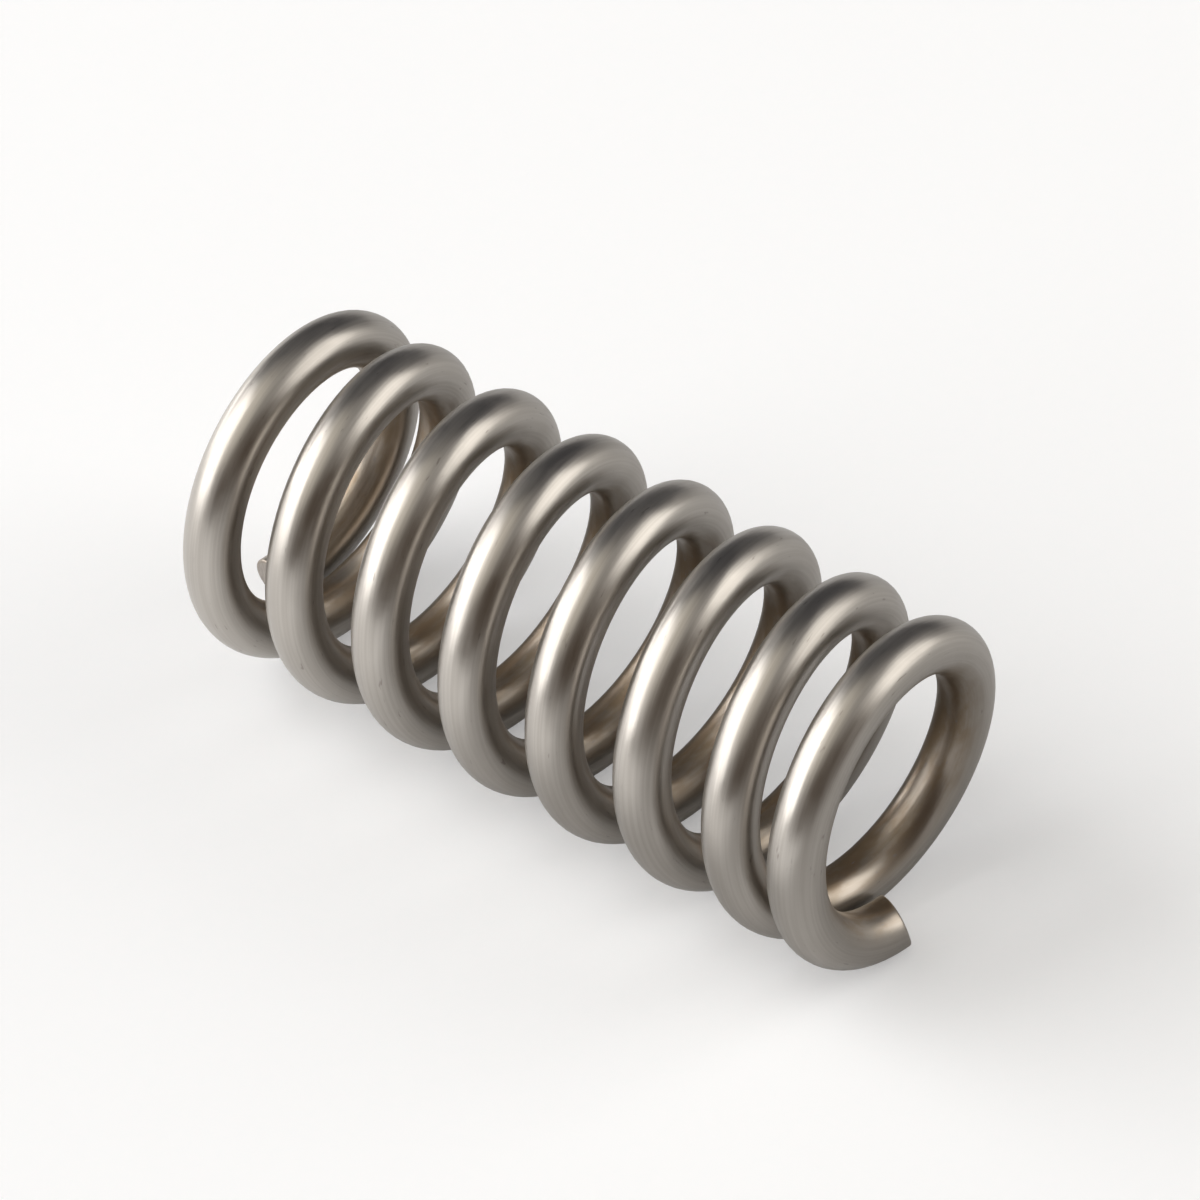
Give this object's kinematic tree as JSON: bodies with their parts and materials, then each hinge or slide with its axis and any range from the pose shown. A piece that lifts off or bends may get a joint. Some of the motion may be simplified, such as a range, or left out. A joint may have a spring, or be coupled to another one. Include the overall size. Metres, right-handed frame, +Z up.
{
  "type": "compression spring",
  "caption": "Small open-coil compression spring of round steel wire, wound right-handed, with closed ends left unground.",
  "frame": {"origin": "on the ground, under the middle of the spring as it lies on its side", "axes": "+X along the coil axis, towards the end where the wire finishes; +Z up"},
  "size_m": [0.022, 0.0094, 0.0095],
  "materials": {
    "spring_wire": "satin drawn wire with fine lines along its length"
  },
  "bodies": {
    "root": {"coil_spring": "spring_wire"}
  },
  "joints": []
}
